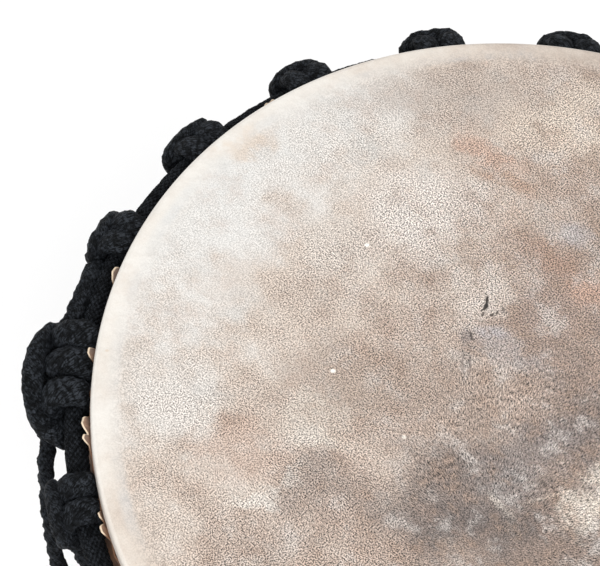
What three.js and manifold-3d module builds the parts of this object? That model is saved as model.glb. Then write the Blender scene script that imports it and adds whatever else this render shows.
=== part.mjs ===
// A rope-tuned goblet drum: a hollow carved shell, a goatskin head, two hoops dressed in braid,
// a cradle rope knotted round each hoop, and one lacing rope drawn between the two cradles.
// Millimetres, +Z up. The drum stands on its foot at z = 0, centred on the z axis.
import * as THREE from "three";
import { mergeVertices } from "three/addons/utils/BufferGeometryUtils.js";
import Module from "manifold-3d";

const wasm = await Module();
wasm.setup();

// Driving sizes of the drum
const height = 500;
const headRadius = 125;
const knotCount = 20;
const gap = 0.3;

// Skin: the flap is the hem's end, which stands up again between the hoop and the rim
const skinThickness = 0.9;
const edgeRounding = 4.5;
const sideSlope = 0.3;
const foldRadius = 2.6;
const flapThickness = 1;
const flapTopDepth = 6.5;

// Shell
const waistHeight = 205;
const waistRadius = 55;
const footRadius = 87;
const throatRadius = 38;
const throatLength = 35;
const rimWall = 12;
const rimBevel = { across: 3, down: 4 };
const bowlWall = 15;
const footWall = 13;
const footHollow = { radius: 60, height: 45 };
const footRimHeight = 9;
const footNeck = { radius: 53, height: 135 };
const footSwell = { radius: 67, height: 60 };
const bowlShoulder = { radius: 96, height: 400 };
const bowlBelly = { radius: 99, height: 265 };
const collar = { height: 9, step: 2.2, bevel: 2, undercut: 1 };

// Hoops
const hoopRadius = 3;
const hoopSides = 6;
const crownRingDepth = 12;
const bottomRingHeight = 237;

// Ropes
const cradleRopeRadius = 2.2;
const lacingRopeRadius = 2.1;
const wrapThickness = 3.4;
const crownSqueeze = 0.9;
const bottomSqueeze = 1.5;
const crownLoopDrop = 27;
const crownLoopLean = 3.2;
const crownLoopInset = 5;
const bottomLoopInset = 3.6;
const bottomLoopRise = 16;
const loopDip = 0.5;
const lacingLean = 2;
const bowlSlack = 1.4;
const ropeSides = 4;
const joinTolerance = 0.3;
const tieKnot = 2;

const top = height;
const lidPlay = skinThickness + gap;
const sides = 2 * knotCount;
const turn = 2 * Math.PI;
const step = turn / knotCount;

const point = (radius, z) => new THREE.Vector2(radius, z);

// Points of an arc in the profile plane, from one angle to another in degrees
function arc(radius, z, size, from, to, count) {
  const points = [];
  for (let i = 0; i <= count; i += 1) {
    const angle = THREE.MathUtils.degToRad(from + ((to - from) * i) / count);
    points.push(point(radius + size * Math.cos(angle), z + size * Math.sin(angle)));
  }
  return points;
}

// Turns a closed profile, given from the top outward and down, about the z axis, its facets facing the knots
function revolve(profile) {
  const outline = [...profile, profile[0]].reverse();
  const geometry = new THREE.LatheGeometry(outline, sides, step / 4);
  geometry.rotateX(Math.PI / 2);
  return weld(geometry);
}

function weld(geometry) {
  geometry.deleteAttribute("normal");
  geometry.deleteAttribute("uv");
  return mergeVertices(geometry, 1e-4);
}

function signedVolume(geometry) {
  const place = geometry.attributes.position;
  const index = geometry.index;
  const [a, b, c] = [new THREE.Vector3(), new THREE.Vector3(), new THREE.Vector3()];
  let volume = 0;
  for (let i = 0; i < index.count; i += 3) {
    a.fromBufferAttribute(place, index.getX(i));
    b.fromBufferAttribute(place, index.getX(i + 1));
    c.fromBufferAttribute(place, index.getX(i + 2));
    volume += a.dot(b.clone().cross(c)) / 6;
  }
  return volume;
}

// A solid for joining and cutting, with its faces turned outward
function solid(geometry) {
  const order = Uint32Array.from(geometry.index.array);
  if (signedVolume(geometry) < 0) {
    order.reverse();
  }
  const vertProperties = Float32Array.from(geometry.attributes.position.array);
  return new wasm.Manifold(new wasm.Mesh({ numProp: 3, vertProperties, triVerts: order }));
}

function geometryOf(body) {
  const mesh = body.getMesh();
  const geometry = new THREE.BufferGeometry();
  geometry.setAttribute("position", new THREE.BufferAttribute(Float32Array.from(mesh.vertProperties), 3));
  geometry.setIndex(new THREE.BufferAttribute(Uint32Array.from(mesh.triVerts), 1));
  return geometry;
}

function joined(bodies) {
  return bodies.reduce((whole, body) => whole.add(body)).simplify(joinTolerance);
}

// A rope of even thickness along a route, with sides turned by a guide direction at each point
function rope(route, guides, radius, closed) {
  const count = route.length;
  const places = [];
  const faces = [];
  for (let i = 0; i < count; i += 1) {
    const before = route[closed ? (i + count - 1) % count : Math.max(i - 1, 0)];
    const after = route[closed ? (i + 1) % count : Math.min(i + 1, count - 1)];
    const along = after.clone().sub(before).normalize();
    const across = guides[i].clone().addScaledVector(along, -guides[i].dot(along)).normalize();
    const other = along.clone().cross(across);
    for (let j = 0; j < ropeSides; j += 1) {
      const angle = ((j + 0.5) / ropeSides) * turn;
      const place = route[i].clone();
      place.addScaledVector(across, radius * Math.cos(angle));
      place.addScaledVector(other, radius * Math.sin(angle));
      places.push(place.x, place.y, place.z);
    }
  }
  const spans = closed ? count : count - 1;
  for (let i = 0; i < spans; i += 1) {
    for (let j = 0; j < ropeSides; j += 1) {
      const a = i * ropeSides + j;
      const b = i * ropeSides + ((j + 1) % ropeSides);
      const c = ((i + 1) % count) * ropeSides + ((j + 1) % ropeSides);
      const d = ((i + 1) % count) * ropeSides + j;
      faces.push(a, b, c, a, c, d);
    }
  }
  if (!closed) {
    const last = (count - 1) * ropeSides;
    for (let j = 1; j < ropeSides - 1; j += 1) {
      faces.push(0, j + 1, j, last, last + j, last + j + 1);
    }
  }
  const geometry = new THREE.BufferGeometry();
  geometry.setAttribute("position", new THREE.Float32BufferAttribute(places, 3));
  geometry.setIndex(faces);
  return geometry;
}

// A place given by its azimuth, its distance from the axis, its height and a step along the hoop
function at(azimuth, radius, z, along = 0) {
  const outward = new THREE.Vector3(Math.cos(azimuth), Math.sin(azimuth), 0);
  const tangent = new THREE.Vector3(-Math.sin(azimuth), Math.cos(azimuth), 0);
  return outward.multiplyScalar(radius).addScaledVector(tangent, along).setZ(z);
}

const outwardAt = (azimuth) => at(azimuth, 1, 0);
const tangentAt = (azimuth) => at(azimuth, 0, 0, 1);
const upward = new THREE.Vector3(0, 0, 1);

// Outer radius of the skin's turned-down side, and the place of the hem's fold under the crown knots
const skinSide = (depth) => headRadius - sideSlope * (depth - edgeRounding);
const foldDepth = crownRingDepth + hoopRadius + gap + wrapThickness + gap + foldRadius;

// Skin: a flat head, a rounded edge, the side with the hem's flap lying on it, and the fold below
function skinProfile() {
  const centre = headRadius - edgeRounding;
  const foldAt = skinSide(foldDepth) + foldRadius;
  const flap = (depth) => point(skinSide(depth) + flapThickness, top - depth);
  return [
    point(0, top),
    ...arc(centre, top - edgeRounding, edgeRounding, 90, 0, 3),
    point(skinSide(flapTopDepth), top - flapTopDepth),
    flap(flapTopDepth),
    flap(foldDepth - foldRadius),
    ...arc(foldAt, top - foldDepth, foldRadius, 60, -120, 2),
    point(skinSide(foldDepth) - skinThickness, top - foldDepth - foldRadius / 2),
    ...arc(centre, top - edgeRounding, edgeRounding - skinThickness, 0, 90, 1),
    point(0, top - skinThickness),
  ];
}

// Outside of the bowl from its rim down to the waist, as one smooth curve
const bowlTopDepth = foldDepth + foldRadius;
const bowlCurve = new THREE.CubicBezierCurve(
  point(skinSide(bowlTopDepth) - lidPlay, top - bowlTopDepth),
  point(bowlShoulder.radius, bowlShoulder.height),
  point(bowlBelly.radius, bowlBelly.height),
  point(waistRadius, waistHeight),
);

function bowlRadiusAt(z) {
  let [low, high] = [0, 1];
  for (let i = 0; i < 24; i += 1) {
    const middle = (low + high) / 2;
    if (bowlCurve.getPoint(middle).y > z) {
      low = middle;
    } else {
      high = middle;
    }
  }
  return bowlCurve.getPoint(low).x;
}

// Each hoop stands off the drum by the cord that is squeezed behind it
const hoopPlay = gap + hoopRadius + gap;
const crownRing = {
  radius: skinSide(crownRingDepth) + flapThickness + crownSqueeze + hoopPlay,
  height: top - crownRingDepth,
};
const bottomRing = {
  radius: bowlRadiusAt(bottomRingHeight + wrapThickness) + bottomSqueeze + hoopPlay,
  height: bottomRingHeight,
};

// The bars at the ends of the loops, which the lacing turns round
const loopStart = hoopRadius + gap + loopDip;
const bottomBarHeight = bottomRingHeight + loopStart + bottomLoopRise;
const bottomBar = {
  radius: bowlRadiusAt(bottomBarHeight) + cradleRopeRadius + 2 * lacingRopeRadius + bowlSlack + gap,
  height: bottomBarHeight,
};
const crownBar = {
  radius: crownRing.radius - crownLoopLean,
  height: crownRing.height - loopStart - crownLoopDrop,
};

// Outside of the foot from the waist down, flaring to the ground
const footCurve = new THREE.CubicBezierCurve(
  point(waistRadius, waistHeight),
  point(footNeck.radius, footNeck.height),
  point(footSwell.radius, footSwell.height),
  point(footRadius, footRimHeight),
);

function shellProfile() {
  const edge = arc(headRadius - edgeRounding, top - edgeRounding, edgeRounding - lidPlay, 90, 0, 1);
  const bowl = bowlCurve.getPoints(6);
  const collarFoot = waistHeight - collar.height;
  const band = [
    point(waistRadius + collar.step, waistHeight - collar.bevel),
    point(waistRadius + collar.step, collarFoot),
    point(waistRadius - collar.undercut, collarFoot - collar.bevel),
  ];
  const foot = footCurve.getPoints(3).slice(1);
  const base = [point(footRadius, 0), point(footRadius - footWall, 0)];
  const hollow = [
    point(footHollow.radius, footHollow.height),
    point(throatRadius, waistHeight - throatLength + collar.bevel),
    point(throatRadius, waistHeight + collar.bevel),
  ];
  const bowlInside = [0.7, 0.35].map((share) => {
    const outside = bowlCurve.getPoint(share);
    const slope = bowlCurve.getTangent(share);
    return point(outside.x + slope.y * bowlWall, outside.y - slope.x * bowlWall);
  });
  const mouth = headRadius - lidPlay - rimWall;
  const rim = [
    point(mouth, top - lidPlay - rimBevel.down),
    point(mouth + rimBevel.across, top - lidPlay),
  ];
  return [...edge, ...bowl, ...band, ...foot, ...base, ...hollow, ...bowlInside, ...rim];
}

// One hoop, six-sided in section, with straight facets where the knots sit
function hoop(ring, segments, firstKnot) {
  const half = Math.PI / segments;
  const geometry = new THREE.TorusGeometry(ring.radius / Math.cos(half), hoopRadius, hoopSides, segments);
  geometry.rotateZ(firstKnot + half);
  geometry.translate(0, 0, ring.height);
  return weld(geometry);
}

// One knot: a sleeve about the hoop that swells at each wrap, thin where it is squeezed against the
// drum, with the bight standing out across the wraps on the outer side
function knot(azimuth, ring, shape) {
  const bore = hoopRadius + gap + shape.extraBore;
  const places = [];
  const stations = [[-1, 0], ...shape.swells, [1, 0]];
  for (const [share, swell, bow] of stations) {
    for (let side = 0; side < hoopSides; side += 1) {
      const round = (side / hoopSides) * turn;
      const thickness = swell === 0 ? 0 : shape.thickness[side] * swell + (side === 0 ? bow : 0);
      const away = bore + thickness;
      const along = share * shape.halfWidth;
      const lift = shape.rise * away * Math.sin(round);
      places.push(at(azimuth, ring.radius + away * Math.cos(round), ring.height + lift, along));
    }
  }
  const faces = [];
  for (let i = 0; i < stations.length; i += 1) {
    for (let j = 0; j < hoopSides; j += 1) {
      const next = (i + 1) % stations.length;
      const beside = (j + 1) % hoopSides;
      const [a, b] = [i * hoopSides + j, i * hoopSides + beside];
      const [c, d] = [next * hoopSides + beside, next * hoopSides + j];
      faces.push(a, b, c, a, c, d);
    }
  }
  const geometry = new THREE.BufferGeometry().setFromPoints(places);
  geometry.setIndex(faces);
  return solid(geometry);
}

// Each knot's thickness round its hoop, from the outer side by way of the side away from the loops,
// and its wraps along the hoop: place, swell and how far the bight stands out there
const crownKnotShape = {
  halfWidth: 9.2,
  extraBore: 0,
  rise: 1,
  thickness: [2.6, 2.9, 2, crownSqueeze, 3, wrapThickness],
  swells: [[-0.84, 1, 2.6], [-0.3, 0.95, 4.8], [0.3, 0.95, 4.8], [0.84, 1, 2.6]],
};
const tieKnotShape = {
  ...crownKnotShape,
  halfWidth: 12.5,
  extraBore: 0.4,
  thickness: [2.6, 2.9, 1.6, crownSqueeze - 0.4, 3, wrapThickness],
  swells: [[-1, 0.5, 1], [-0.7, 1, 7], [-0.3, 0.8, 9], [0, 1, 9.5], [0.3, 0.8, 9], [0.7, 1, 7], [1, 0.5, 1]],
};
const bottomKnotShape = {
  halfWidth: 7.4,
  extraBore: 0,
  rise: -1,
  thickness: [2.6, 2.6, 2.2, bottomSqueeze, wrapThickness, wrapThickness],
  swells: [[-0.78, 1, 2.6], [0, 0.75, 4.2], [0.78, 1, 2.6]],
};

// The loop of a cradle from one knot to the next, which carries the lacing
function loop(azimuth, ring, bar, inset) {
  const reach = (ring.radius * step) / 2 - inset;
  const start = ring.height + Math.sign(bar.height - ring.height) * loopStart;
  const route = [
    at(azimuth, ring.radius, start, -reach),
    at(azimuth, bar.radius, bar.height, -reach / 2),
    at(azimuth, bar.radius, bar.height, reach / 2),
    at(azimuth, ring.radius, start, reach),
  ];
  return solid(rope(route, route.map(() => outwardAt(azimuth)), cradleRopeRadius, false));
}

// A cradle rope: one knot after another round its hoop, with a loop from each to the next
function cradle(ring, bar, firstKnot, inset, shapeOf) {
  const bodies = [];
  for (let number = 0; number < knotCount; number += 1) {
    const azimuth = firstKnot + number * step;
    bodies.push(knot(azimuth, ring, shapeOf(number)));
    bodies.push(loop(azimuth + step / 2, ring, bar, inset));
  }
  return geometryOf(joined(bodies));
}

// The lacing: up through a crown loop, down the bowl, through a bottom loop, and so on round
function lacing() {
  const hold = (cradleRopeRadius + lacingRopeRadius + gap) / Math.cos(Math.PI / 7);
  const clear = lacingRopeRadius + gap + bowlSlack;
  const legShares = [0.34, 0.68];
  const hookTurns = [[-1, -0.6], [-0.75, 0.85], [0.75, 0.85], [1, -0.6]];
  const route = [];
  const guides = [];
  const addPoint = (azimuth, radius, z) => {
    route.push(at(azimuth, radius, z));
    guides.push(tangentAt(azimuth));
  };
  const addHook = (azimuth, bar, side) => {
    hookTurns.forEach(([out, up], i) => {
      const lean = ((2 * i) / (hookTurns.length - 1) - 1) * lacingLean;
      addPoint(azimuth + lean / bar.radius, bar.radius + side * out * hold, bar.height + side * up * hold);
    });
  };
  const addLeg = (from, to, shares) => {
    for (const share of shares) {
      const z = THREE.MathUtils.lerp(crownBar.height, bottomBar.height, share);
      addPoint(THREE.MathUtils.lerp(from, to, share), bowlRadiusAt(z) + clear, z);
    }
  };
  for (let number = 0; number < knotCount; number += 1) {
    const crown = (number + 0.5) * step;
    const bottom = crown + step / 2;
    addHook(crown, crownBar, 1);
    addLeg(crown, bottom, legShares);
    addHook(bottom, bottomBar, -1);
    addLeg(crown + step, bottom, [...legShares].reverse());
  }
  return rope(route, guides, lacingRopeRadius, true);
}

function material(color, roughness) {
  return new THREE.MeshStandardMaterial({ color, roughness, metalness: 0, flatShading: true });
}

const black = 0x1a1a1d;
const drum = new THREE.Group();
drum.name = "goblet_drum";

function add(name, geometry, color, roughness) {
  const mesh = new THREE.Mesh(geometry, material(color, roughness));
  mesh.name = name;
  drum.add(mesh);
}

const crownShape = (number) => (number === tieKnot ? tieKnotShape : crownKnotShape);
const bottomShape = () => bottomKnotShape;

add("shell", revolve(shellProfile()), 0x6b4326, 0.55);
add("drumhead", revolve(skinProfile()), 0xd9c3a4, 0.7);
add("crown_ring", hoop(crownRing, sides, 0), black, 0.8);
add("bottom_ring", hoop(bottomRing, knotCount, step / 2), black, 0.8);
add("crown_cradle_rope", cradle(crownRing, crownBar, 0, crownLoopInset, crownShape), black, 0.8);
add("bottom_cradle_rope", cradle(bottomRing, bottomBar, step / 2, bottomLoopInset, bottomShape), black, 0.8);
add("lacing_rope", lacing(), black, 0.8);

export default drum;
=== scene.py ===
"""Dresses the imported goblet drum: carved shell, goatskin head, braid-dressed hoops and black cord."""

import math

import bpy
import numpy as np
from mathutils import Matrix, Vector


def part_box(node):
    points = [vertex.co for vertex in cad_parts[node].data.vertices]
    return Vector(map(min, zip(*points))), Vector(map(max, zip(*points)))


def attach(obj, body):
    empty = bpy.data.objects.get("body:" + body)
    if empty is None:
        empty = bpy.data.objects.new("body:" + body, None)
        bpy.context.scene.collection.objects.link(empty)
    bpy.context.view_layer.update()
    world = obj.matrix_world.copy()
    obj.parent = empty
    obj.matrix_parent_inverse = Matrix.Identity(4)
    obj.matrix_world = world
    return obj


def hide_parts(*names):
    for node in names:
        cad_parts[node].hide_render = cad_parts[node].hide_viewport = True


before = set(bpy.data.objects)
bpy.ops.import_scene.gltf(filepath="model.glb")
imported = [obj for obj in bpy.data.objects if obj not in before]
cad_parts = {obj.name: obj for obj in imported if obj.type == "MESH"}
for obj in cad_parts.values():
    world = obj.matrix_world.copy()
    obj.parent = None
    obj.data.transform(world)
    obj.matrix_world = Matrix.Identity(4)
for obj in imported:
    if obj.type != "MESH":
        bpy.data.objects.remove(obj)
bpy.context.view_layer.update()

MM = 0.001
TURN = 2 * math.pi

# Driving sizes, the same as the CAD's
HEAD_RADIUS = 125 * MM
KNOTS = 20
STEP = TURN / KNOTS
GAP = 0.3 * MM
SKIN_THICKNESS = 0.9 * MM
EDGE_ROUNDING = 4.5 * MM
SIDE_SLOPE = 0.3
FOLD_DEPTH = 21.6 * MM
FOLD_RADIUS = 2.6 * MM
HOOP_RADIUS = 3 * MM
CORD_RADIUS = 2.2 * MM
LACING_RADIUS = 2.1 * MM
WAIST_HEIGHT = 205 * MM
WAIST_RADIUS = 55 * MM
FOOT_RADIUS = 87 * MM
THROAT_RADIUS = 38 * MM
FOOT_WALL = 13 * MM
RIM_WALL = 12 * MM
BOWL_WALL = 15 * MM
BOWL_SHOULDER = (96 * MM, 400 * MM)
BOWL_BELLY = (99 * MM, 265 * MM)
FOOT_NECK = (53 * MM, 135 * MM)
FOOT_SWELL = (67 * MM, 60 * MM)
FOOT_RIM_HEIGHT = 9 * MM
CROWN_LOOP_DROP = 27 * MM
CROWN_LOOP_LEAN = 3.2 * MM
BOTTOM_LOOP_RISE = 16 * MM

# Sizes of the skin's edge and hem that only the dressed head has
EDGE_CREASE = 1.8 * MM
EDGE_FALL = 0.35 * MM
FALL_START = 0.93
SKIN_RING = 1500
HEM_DEPTH = 6.8 * MM
HEM_DROP = 1.2 * MM
HEM_RISE = 4.5 * MM
HEM_LEAN_IN = 0.3 * MM
HEM_LEAN_OUT = 2.3 * MM
FLAP_THICKNESS = 0.5 * MM
FLAP_CLEARANCE = 0.15 * MM
FLAP_LIMIT = 1.25 * MM
CREVICE = 2.4 * MM
AXIS_HOLE = 0.02 * MM

# Turned and carved details of the shell
SHELL_RING = 200
COLLAR_DROP = 9 * MM
BAND_DROP = 1 * MM
BAND_SINK = 0.4 * MM
BAND_HALF_HEIGHT = 4 * MM
BAND_SWELL = 2.6 * MM
GROOVE_HEIGHTS = (24 * MM, 30 * MM)
GROOVE_DEPTH = 1.0 * MM
GROOVE_HALF_WIDTH = 1.3 * MM
CARVING = 0.25 * MM
FIRST_CARVED_ROW = 8
CARVED_FOOT_ROWS = 40

# Cords: strands round a cord, length of a braid's cell, which knot is tied off, and how the loops and the
# lacing run
TIE_KNOT = 2
CORD_STRANDS = 7
CORD_PITCH = 2.4 * MM
SLEEVE_STRANDS = 14
SLEEVE_PITCH = 1.9 * MM
SLEEVE_FIT = 0.05 * MM
LUMP_WAVES = 14
LUMP_LENGTHS = (2.4, 6.5)
KNOT_REACH = 3.8 * MM
CROWN_LOOP_REACH = 13.0 * MM
BOTTOM_LOOP_REACH = 6.2 * MM
LOOP_STANDOFF = 1.6 * MM
BOTTOM_KNOT_SCALE = 0.8
BOTTOM_BAR_STANDOFF = 8.1 * MM
LACING_CLEARANCE = 0.15 * MM
LACING_LIFT = 1.7 * MM
HOOK_LEAN = 1.6 * MM
TAIL_RADIUS = 2.15 * MM

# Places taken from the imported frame
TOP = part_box("drumhead")[1].z
CROWN_RING_Z = (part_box("crown_ring")[0].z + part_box("crown_ring")[1].z) / 2
CROWN_RING_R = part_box("crown_ring")[1].x - HOOP_RADIUS
BOTTOM_RING_Z = (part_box("bottom_ring")[0].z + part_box("bottom_ring")[1].z) / 2
BOTTOM_RING_R = (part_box("bottom_ring")[1].x - HOOP_RADIUS) * math.cos(STEP / 2)

# The photograph: its size and focal length in pixels, the head's middle and radius on it, and how the
# head is tipped and turned
PHOTO_SIZE = (600, 566)
PHOTO_FOCAL = 2400
HEAD_PIXEL = (564.4, 415.2)
HEAD_RADIUS_PIXELS = 472.3
TILT = math.radians(33)
DOWN_IN_PHOTO = math.radians(102.9)
AZIMUTH_OFFSET = math.radians(30.75)
SENSOR_WIDTH = 36


def smooth(values, low, high):
    share = np.clip((values - low) / (high - low), 0, 1)
    return share * share * (3 - 2 * share)


def photo_axes():
    """The drum's X, Y and Z axes as the photograph's camera sees them: right, down and away."""
    down = np.array([
        math.sin(TILT) * math.cos(DOWN_IN_PHOTO),
        math.sin(TILT) * math.sin(DOWN_IN_PHOTO),
        math.cos(TILT),
    ])
    side = np.array([-math.sin(DOWN_IN_PHOTO), math.cos(DOWN_IN_PHOTO), 0])
    other = -np.cross(down, side)
    cos_o, sin_o = math.cos(AZIMUTH_OFFSET), math.sin(AZIMUTH_OFFSET)
    x_axis = cos_o * side - sin_o * other
    y_axis = sin_o * side + cos_o * other
    return np.array([x_axis, y_axis, -down])


AXES = photo_axes()
CAMERA_DISTANCE = PHOTO_FOCAL / HEAD_RADIUS_PIXELS * HEAD_RADIUS


def pixel_ray(pixel):
    ray = np.array([pixel[0] - PHOTO_SIZE[0] / 2, pixel[1] - PHOTO_SIZE[1] / 2, PHOTO_FOCAL])
    return AXES @ (ray / PHOTO_FOCAL)


CAMERA_PLACE = np.array([0, 0, TOP]) - pixel_ray(HEAD_PIXEL) * CAMERA_DISTANCE


def on_plane(pixel, z=TOP):
    """Where a pixel of the photograph lies on the head's plane, or on a level plane at height z."""
    ray = pixel_ray(pixel)
    return CAMERA_PLACE + ray * ((z - CAMERA_PLACE[2]) / ray[2])


def make_camera():
    data = bpy.data.cameras.new("photo_camera")
    data.sensor_width = SENSOR_WIDTH
    data.lens = SENSOR_WIDTH * PHOTO_FOCAL / PHOTO_SIZE[0]
    camera = bpy.data.objects.new("photo_camera", data)
    bpy.context.scene.collection.objects.link(camera)
    right, down, away = AXES[:, 0], AXES[:, 1], AXES[:, 2]
    turn = Matrix([[right[i], -down[i], -away[i]] for i in range(3)])
    camera.matrix_world = Matrix.Translation(Vector(CAMERA_PLACE)) @ turn.to_4x4()
    bpy.context.scene.camera = camera


def bezier(places, count):
    share = np.linspace(0, 1, count)[:, None]
    left = 1 - share
    a, b, c, d = [np.array(place) for place in places]
    return left ** 3 * a + 3 * left ** 2 * share * b + 3 * left * share ** 2 * c + share ** 3 * d


def skin_side(depth):
    return HEAD_RADIUS - SIDE_SLOPE * (depth - EDGE_ROUNDING)


BOWL_TOP_DEPTH = FOLD_DEPTH + FOLD_RADIUS
BOWL = bezier([
    (skin_side(BOWL_TOP_DEPTH) - SKIN_THICKNESS - GAP, TOP - BOWL_TOP_DEPTH),
    BOWL_SHOULDER,
    BOWL_BELLY,
    (WAIST_RADIUS, WAIST_HEIGHT),
], 200)
BOWL_FACE = BOWL[:-2:4]


def bowl_radius(z):
    return np.interp(z, BOWL[::-1, 1], BOWL[::-1, 0])


def catmull(points, per_span, closed):
    """Smooth rows of numbers through the given rows, with per_span rows from each to the next."""
    rows = np.asarray(points, float)
    count = len(rows)
    spans = count if closed else count - 1
    shares = np.linspace(0, 1, per_span, endpoint=False)[:, None]
    out = []
    for i in range(spans):
        if closed:
            a, b, c, d = rows[(i - 1) % count], rows[i], rows[(i + 1) % count], rows[(i + 2) % count]
        else:
            a, b = rows[max(i - 1, 0)], rows[i]
            c, d = rows[i + 1], rows[min(i + 2, count - 1)]
        out.append(0.5 * (
            2 * b + (c - a) * shares
            + (2 * a - 5 * b + 4 * c - d) * shares ** 2
            + (3 * b - a - 3 * c + d) * shares ** 3
        ))
    if not closed:
        out.append(rows[-1:])
    return np.vstack(out)


def even_rows(rows, spacing, closed):
    """The same line with its rows set at even spacing; the first three columns are the place."""
    loop = np.vstack([rows, rows[:1]]) if closed else rows
    lengths = np.concatenate([[0], np.cumsum(np.linalg.norm(np.diff(loop[:, :3], axis=0), axis=1))])
    count = max(int(lengths[-1] / spacing), 4)
    stations = np.linspace(0, lengths[-1], count, endpoint=not closed)
    even = np.column_stack([np.interp(stations, lengths, column) for column in loop.T])
    return even, stations, lengths[-1]


def at(azimuth, radius, z):
    return np.column_stack([radius * np.cos(azimuth), radius * np.sin(azimuth), z + 0 * azimuth])


def new_mesh(name, places, faces, uvs, material):
    mesh = bpy.data.meshes.new(name)
    mesh.from_pydata(places.tolist(), [], faces.tolist())
    layer = mesh.uv_layers.new(name="UVMap")
    layer.data.foreach_set("uv", np.asarray(uvs, np.float32).ravel())
    mesh.polygons.foreach_set("use_smooth", [True] * len(mesh.polygons))
    mesh.materials.append(material)
    mesh.update()
    piece = bpy.data.objects.new(name, mesh)
    bpy.context.scene.collection.objects.link(piece)
    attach(piece, "root")
    return piece


def grid_mesh(name, grid, material, wrap_rows=False, v_values=None):
    """A mesh from rows of rings of places; the rings close on themselves, and the rows too if asked."""
    rows, ring, _ = grid.shape
    spans = rows if wrap_rows else rows - 1
    i, j = np.meshgrid(np.arange(spans), np.arange(ring), indexing="ij")
    k, l = (i + 1) % rows, (j + 1) % ring
    faces = np.stack([i * ring + j, i * ring + l, k * ring + l, k * ring + j], axis=-1).reshape(-1, 4)
    v = np.arange(rows + 1) / rows if v_values is None else v_values
    u_low, u_high = j / ring, (j + 1) / ring
    v_low, v_high = v[i], v[i + 1]
    uvs = np.stack([
        np.stack([u_low, v_low], -1), np.stack([u_high, v_low], -1),
        np.stack([u_high, v_high], -1), np.stack([u_low, v_high], -1),
    ], axis=2).reshape(-1, 2)
    return new_mesh(name, grid.reshape(-1, 3), faces, uvs, material)


def braid_height(around, along, cells, pitch):
    """Height of a braid's surface, 0 to 1: a bulge for each strand that comes to the top."""
    a = cells * around + along / pitch
    b = cells * around - along / pitch
    return np.abs(np.cos(math.pi * a) * np.cos(math.pi * b)) ** 0.8


def lumps(places, seed, size):
    """Soft uneven swelling in space, as of a slack braid: short waves that run every way."""
    random = np.random.default_rng(seed)
    total = np.zeros(places.shape[:-1])
    for _ in range(LUMP_WAVES):
        way = random.normal(size=3)
        way *= TURN / (random.uniform(*LUMP_LENGTHS) * MM) / np.linalg.norm(way)
        total += np.sin(places @ way + random.uniform(0, TURN))
    return total * size / 4


def cord(name, rows, closed, spacing, ring, relief, cells, pitch, material, lump=0.0):
    """A braided cord along rows of place, thickness direction, half width and half thickness."""
    line, stations, length = even_rows(rows, spacing, closed)
    place, thick_way = line[:, :3], line[:, 3:6]
    width, thick = line[:, 6:7], line[:, 7:8]
    if closed:
        along = np.roll(place, -1, 0) - np.roll(place, 1, 0)
    else:
        along = np.gradient(place, axis=0)
    along /= np.linalg.norm(along, axis=1, keepdims=True)
    thick_way = thick_way - along * np.sum(thick_way * along, axis=1, keepdims=True)
    thick_way /= np.linalg.norm(thick_way, axis=1, keepdims=True)
    across = np.cross(along, thick_way)
    around = np.arange(ring) / ring
    pitch = length / max(round(length / (2 * pitch)), 1) / 2
    height = braid_height(around[None, :], stations[:, None], cells, pitch)
    swell = (relief * (height - 0.5))[:, :, None]
    cos_a = np.cos(TURN * around)[None, :, None]
    sin_a = np.sin(TURN * around)[None, :, None]
    out_x = (thick[:, None, :] + swell * 0.8) * cos_a
    out_y = (width[:, None, :] + swell) * sin_a
    grid = place[:, None, :] + thick_way[:, None, :] * out_x + across[:, None, :] * out_y
    if lump:
        away = grid - place[:, None, :]
        away /= np.maximum(np.linalg.norm(away, axis=2, keepdims=True), 1e-9)
        grid += away * lumps(grid, 8, lump)[:, :, None]
    if not closed:
        for end, scale in ((0, 0.02), (1, 0.6), (-1, 0.02), (-2, 0.6)):
            grid[end] = place[end] + (grid[end] - place[end]) * scale
    v = np.append(stations, length) / pitch
    return grid_mesh(name, grid, material, wrap_rows=closed, v_values=v)


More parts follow.
